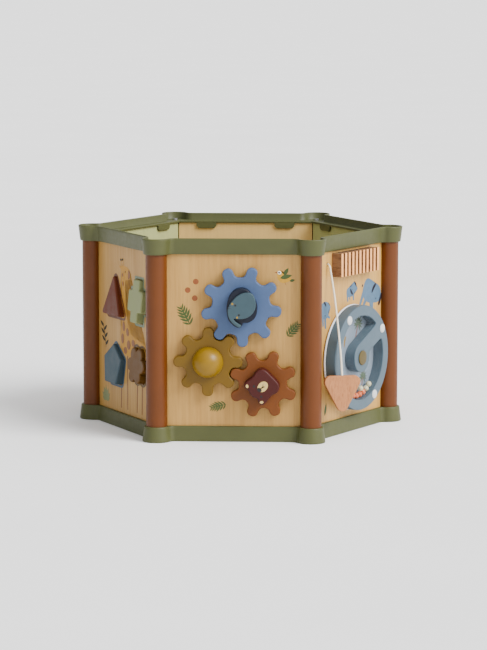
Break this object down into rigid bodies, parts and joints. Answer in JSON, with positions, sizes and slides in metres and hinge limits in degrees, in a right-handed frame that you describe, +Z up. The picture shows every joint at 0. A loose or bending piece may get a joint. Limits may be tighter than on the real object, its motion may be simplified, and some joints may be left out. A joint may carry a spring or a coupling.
{
  "type": "baby activity centre",
  "caption": "Hexagonal open activity centre with plywood play panels, meshing gears, a shape sorter, a bead drum and a guiro with its striker on a cord.",
  "frame": {"origin": "on the floor at the centre of the whole outline, 5 mm in front of the hexagon's own centre", "axes": "+Z up, -Y outward from the gear panel, +X towards the right-hand post"},
  "size_m": [0.438, 0.3954, 0.265],
  "materials": {
    "rim_green": "satin moulded plastic",
    "post_terracotta": "satin moulded plastic",
    "plywood": "clear lacquered birch plywood with prints",
    "panel_sage": "plywood, pale stained inside",
    "blue_paint": "painted wood, satin",
    "navy_paint": "painted wood, satin",
    "teal_paint": "painted wood, satin",
    "mustard_paint": "painted wood, satin",
    "light_mustard_paint": "painted wood, satin",
    "orange_paint": "painted wood, satin",
    "bear_paint": "painted wood, satin",
    "brick_paint": "painted wood, satin",
    "sage_paint": "painted wood, satin",
    "slate_paint": "painted wood, satin",
    "ochre_paint": "painted wood, satin",
    "drum_plastic": "satin moulded plastic",
    "drum_plate": "satin moulded plastic, printed face",
    "clear_plastic": "clear pane",
    "pin_white": "satin moulded plastic",
    "cap_ochre": "satin",
    "beads": "painted beads, gloss",
    "walnut": "oiled wood",
    "striker_wood": "fine grained unfinished wood",
    "cord_cream": "braided cotton cord",
    "steel": "zinc plated",
    "nylon": "natural nylon"
  },
  "bodies": {
    "root": {"bottom_rim": "rim_green", "top_rim": "rim_green", "post_front_left": "post_terracotta", "post_front_right": "post_terracotta", "post_right": "post_terracotta", "post_rear_right": "post_terracotta", "post_rear_left": "post_terracotta", "post_left": "post_terracotta", "front_panel": "plywood", "right_panel": "plywood", "rear_right_panel": "panel_sage", "rear_panel": "plywood", "rear_left_panel": "panel_sage", "left_panel": "plywood", "top_screws": "steel", "bottom_screws": "steel", "gear_axles": "steel", "gear_washers": "nylon", "axle_caps": "nylon", "drum_axle": "steel", "drum_washer": "nylon", "drum_axle_cap": "nylon", "guiro_block": "walnut", "guiro_screws": "steel", "cord_knot": "cord_cream"},
    "blue_gear": {"blue_gear": "blue_paint", "elephant_knob": "navy_paint", "elephant_face": "teal_paint"},
    "yellow_gear": {"yellow_gear": "mustard_paint", "ball_knob": "light_mustard_paint"},
    "orange_gear": {"orange_gear": "orange_paint", "bear_knob": "bear_paint"},
    "drum": {"drum_back_plate": "drum_plate", "drum_ring": "drum_plastic", "drum_windows": "clear_plastic", "drum_pins": "pin_white", "drum_cap": "cap_ochre"},
    "beads": {"drum_beads": "beads"},
    "triangle_block": {"triangle_block": "brick_paint"},
    "cross_block": {"cross_block": "sage_paint"},
    "house_block": {"house_block": "slate_paint"},
    "flower_block": {"flower_block": "ochre_paint"},
    "striker": {"striker": "striker_wood", "striker_cord": "cord_cream"}
  },
  "joints": [
    {"name": "blue_gear_spin", "type": "hinge", "parent": "root", "child": "blue_gear", "pos_m": [0.0098, -0.1722, 0.1773], "axis": [0, -1, 0], "continuous": true},
    {"name": "yellow_gear_spin", "type": "hinge", "parent": "root", "child": "yellow_gear", "pos_m": [-0.0332, -0.1722, 0.1052], "axis": [0, -1, 0], "continuous": true},
    {"name": "orange_gear_spin", "type": "hinge", "parent": "root", "child": "orange_gear", "pos_m": [0.038, -0.1722, 0.0766], "axis": [0, -1, 0], "continuous": true},
    {"name": "drum_spin", "type": "hinge", "parent": "root", "child": "drum", "pos_m": [0.15761, -0.08242, 0.099], "axis": [0.866, -0.5, 0], "continuous": true},
    {"name": "beads_roll", "type": "hinge", "parent": "drum", "child": "beads", "pos_m": [0.15761, -0.08242, 0.099], "axis": [0.866, -0.5, 0], "range_deg": [-20, 60]},
    {"name": "triangle_block_slide", "type": "slide", "parent": "root", "child": "triangle_block", "axis": [-0.8613, -0.4973, 0.1045], "range_m": [-0.03, 0.04]},
    {"name": "cross_block_slide", "type": "slide", "parent": "root", "child": "cross_block", "axis": [-0.8613, -0.4973, 0.1045], "range_m": [-0.03, 0.04]},
    {"name": "house_block_slide", "type": "slide", "parent": "root", "child": "house_block", "axis": [-0.8613, -0.4973, 0.1045], "range_m": [-0.03, 0.04]},
    {"name": "flower_block_slide", "type": "slide", "parent": "root", "child": "flower_block", "axis": [-0.8613, -0.4973, 0.1045], "range_m": [-0.03, 0.04]},
    {"name": "striker_lift", "type": "hinge", "parent": "root", "child": "striker", "pos_m": [0.1199, -0.12773, 0.2275], "axis": [-0.5, -0.866, 0], "range_deg": [0, 55]}
  ],
  "couplings": [
    {"joint": "yellow_gear_spin", "follows": "blue_gear_spin", "ratio": -1.125},
    {"joint": "orange_gear_spin", "follows": "blue_gear_spin", "ratio": 1.125}
  ]
}
